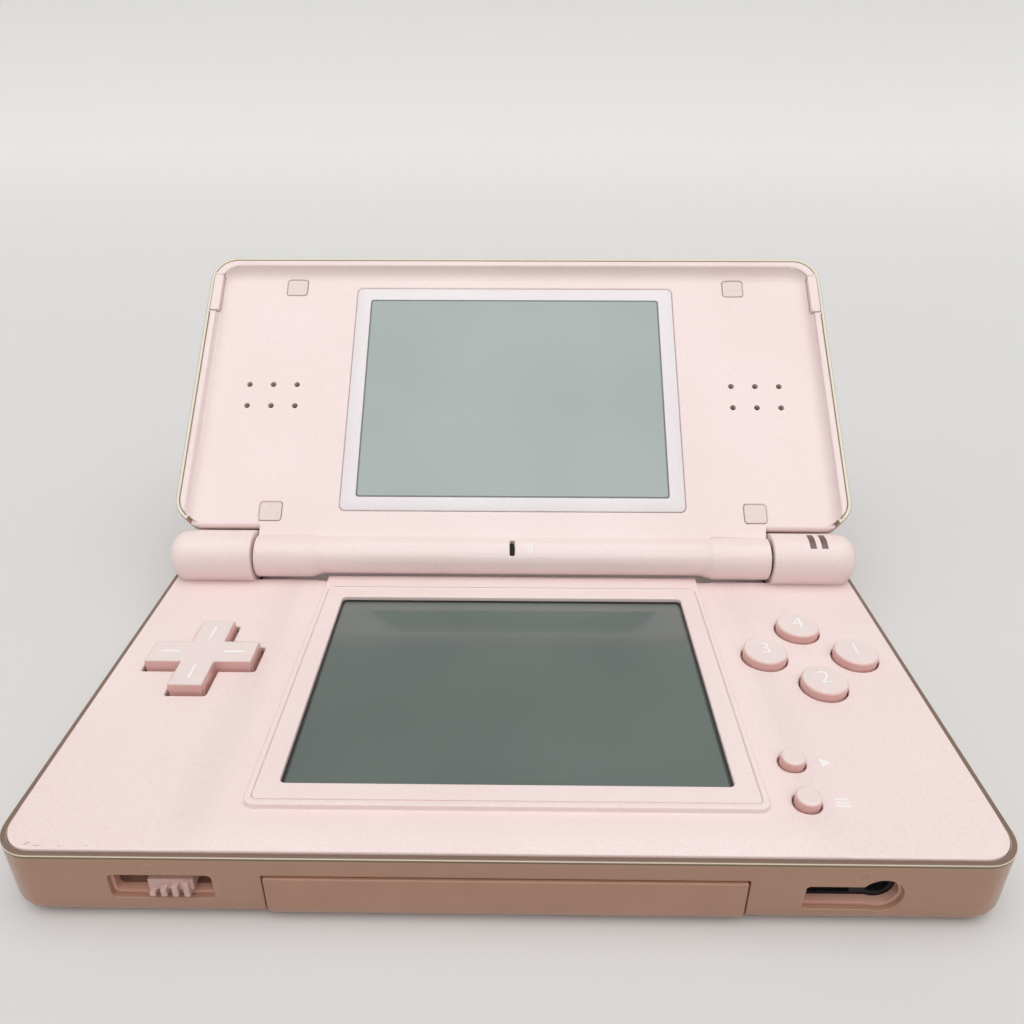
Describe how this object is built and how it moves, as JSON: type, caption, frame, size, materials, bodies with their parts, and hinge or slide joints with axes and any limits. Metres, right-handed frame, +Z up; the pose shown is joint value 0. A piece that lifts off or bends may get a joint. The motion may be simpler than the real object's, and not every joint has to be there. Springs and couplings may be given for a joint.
{
  "type": "handheld game console",
  "caption": "Clamshell handheld game console with two screens, a cross pad, round face buttons, shoulder buttons, sliders, a stored stylus and a lid on a barrel hinge.",
  "frame": {"origin": "middle of the flat underside, halfway between the front and rear faces of the base", "axes": "+X to the user's right, +Y from the front edge towards the hinge, +Z up out of the underside"},
  "size_m": [0.1336, 0.1221, 0.0638],
  "materials": {
    "coloured_plastic": "gloss injection-moulded case plastic, pale pink with a fine pearl",
    "clear_skin": "polished clear polycarbonate, faintly yellowed",
    "button_plastic": "smooth translucent pink plastic",
    "screen_glass": "dark grey-green screen behind a clear window",
    "display": "liquid crystal display in its dark bezel",
    "dark_plastic": "black engineering plastic",
    "circuit_board": "green solder resist on glass-fibre board",
    "stamped_steel": "bare stamped sheet steel",
    "turned_steel": "bright turned steel",
    "grey_rubber": "soft grey silicone rubber",
    "foil_cell": "wrapped foil cell",
    "copper_flex": "amber polyimide film over copper",
    "contact_metal": "gilded spring brass"
  },
  "bodies": {
    "base": {"base_clear_cover": "clear_skin", "base_lower_case": "coloured_plastic", "base_face_plate": "coloured_plastic", "touch_panel": "screen_glass", "lower_lcd_panel": "display", "lcd_frame": "stamped_steel", "main_board": "circuit_board", "processor_shield": "stamped_steel", "battery": "foil_cell", "battery_contacts": "contact_metal", "battery_cover": "coloured_plastic", "battery_cover_screw": "turned_steel", "wireless_board": "circuit_board", "card_slot": "stamped_steel", "cartridge_slot": "dark_plastic", "charge_socket": "dark_plastic", "headphone_socket": "dark_plastic", "hinge_cam_unit": "stamped_steel", "led_light_pipe": "button_plastic", "case_screws": "turned_steel", "rubber_feet": "grey_rubber", "volume_switch_body": "dark_plastic", "power_switch_body": "dark_plastic", "pad_membrane": "grey_rubber", "button_membrane": "grey_rubber", "small_button_membrane": "grey_rubber", "shoulder_pins": "turned_steel", "shoulder_springs": "turned_steel", "shoulder_switches": "dark_plastic"},
    "lid": {"lid_inner_plate": "coloured_plastic", "lid_outer_shell": "coloured_plastic", "lid_clear_cover": "clear_skin", "upper_screen_lens": "screen_glass", "upper_lcd_panel": "display", "left_speaker": "dark_plastic", "right_speaker": "dark_plastic", "lid_pads": "coloured_plastic", "lid_screws": "turned_steel", "lid_bumpers": "coloured_plastic", "microphone": "dark_plastic", "hinge_drive_pin": "turned_steel", "hinge_bush": "button_plastic", "display_flex_cable": "copper_flex", "lid_wiring_board": "circuit_board"},
    "pad_pivot": {"d_pad_pivot": "button_plastic"},
    "cross_pad": {"d_pad": "button_plastic"},
    "right_button": {"face_button_right": "button_plastic"},
    "top_button": {"face_button_top": "button_plastic"},
    "left_button": {"face_button_left": "button_plastic"},
    "bottom_button": {"face_button_bottom": "button_plastic"},
    "upper_small_button": {"start_button": "button_plastic"},
    "lower_small_button": {"select_button": "button_plastic"},
    "left_shoulder": {"left_shoulder_button": "coloured_plastic"},
    "right_shoulder": {"right_shoulder_button": "coloured_plastic"},
    "volume_slider": {"volume_knob": "button_plastic"},
    "power_slider": {"power_knob": "button_plastic"},
    "touch_stylus": {"stylus": "button_plastic"},
    "cartridge_cover": {"slot_cover": "coloured_plastic"}
  },
  "joints": [
    {"name": "lid_hinge", "type": "hinge", "parent": "base", "child": "lid", "pos_m": [0, 0.03138, 0.0159], "axis": [-1, 0, 0], "range_deg": [-138.3, 26.7]},
    {"name": "pad_tilt_front", "type": "hinge", "parent": "base", "child": "pad_pivot", "pos_m": [-0.05165, 0.00345, 0.0093], "axis": [1, 0, 0], "range_deg": [-2.5, 2.5], "stiffness_Nm_per_rad": 0.03},
    {"name": "pad_tilt_side", "type": "hinge", "parent": "pad_pivot", "child": "cross_pad", "pos_m": [-0.05165, 0.00345, 0.0093], "axis": [0, 1, 0], "range_deg": [-2.5, 2.5], "stiffness_Nm_per_rad": 0.03},
    {"name": "right_button_press", "type": "slide", "parent": "base", "child": "right_button", "axis": [0, 0, -1], "range_m": [0, 0.0008], "stiffness_N_per_m": 400},
    {"name": "top_button_press", "type": "slide", "parent": "base", "child": "top_button", "axis": [0, 0, -1], "range_m": [0, 0.0008], "stiffness_N_per_m": 400},
    {"name": "left_button_press", "type": "slide", "parent": "base", "child": "left_button", "axis": [0, 0, -1], "range_m": [0, 0.0008], "stiffness_N_per_m": 400},
    {"name": "bottom_button_press", "type": "slide", "parent": "base", "child": "bottom_button", "axis": [0, 0, -1], "range_m": [0, 0.0008], "stiffness_N_per_m": 400},
    {"name": "upper_small_button_press", "type": "slide", "parent": "base", "child": "upper_small_button", "axis": [0, 0, -1], "range_m": [0, 0.0006], "stiffness_N_per_m": 400},
    {"name": "lower_small_button_press", "type": "slide", "parent": "base", "child": "lower_small_button", "axis": [0, 0, -1], "range_m": [0, 0.0006], "stiffness_N_per_m": 400},
    {"name": "left_shoulder_press", "type": "hinge", "parent": "base", "child": "left_shoulder", "pos_m": [-0.0469, 0.0331, 0.0065], "axis": [0, 0, 1], "range_deg": [0, 3.5], "stiffness_Nm_per_rad": 0.15},
    {"name": "right_shoulder_press", "type": "hinge", "parent": "base", "child": "right_shoulder", "pos_m": [0.0469, 0.0331, 0.0065], "axis": [0, 0, -1], "range_deg": [0, 3.5], "stiffness_Nm_per_rad": 0.15},
    {"name": "volume_slide", "type": "slide", "parent": "base", "child": "volume_slider", "axis": [1, 0, 0], "range_m": [-0.0042, 0.0019]},
    {"name": "power_slide", "type": "slide", "parent": "base", "child": "power_slider", "axis": [0, 1, 0], "range_m": [0, 0.0033], "stiffness_N_per_m": 150},
    {"name": "stylus_pull", "type": "slide", "parent": "base", "child": "touch_stylus", "axis": [1, 0, 0], "range_m": [0, 0.09]},
    {"name": "cartridge_cover_pull", "type": "slide", "parent": "base", "child": "cartridge_cover", "axis": [0, -1, 0], "range_m": [0, 0.04]}
  ]
}
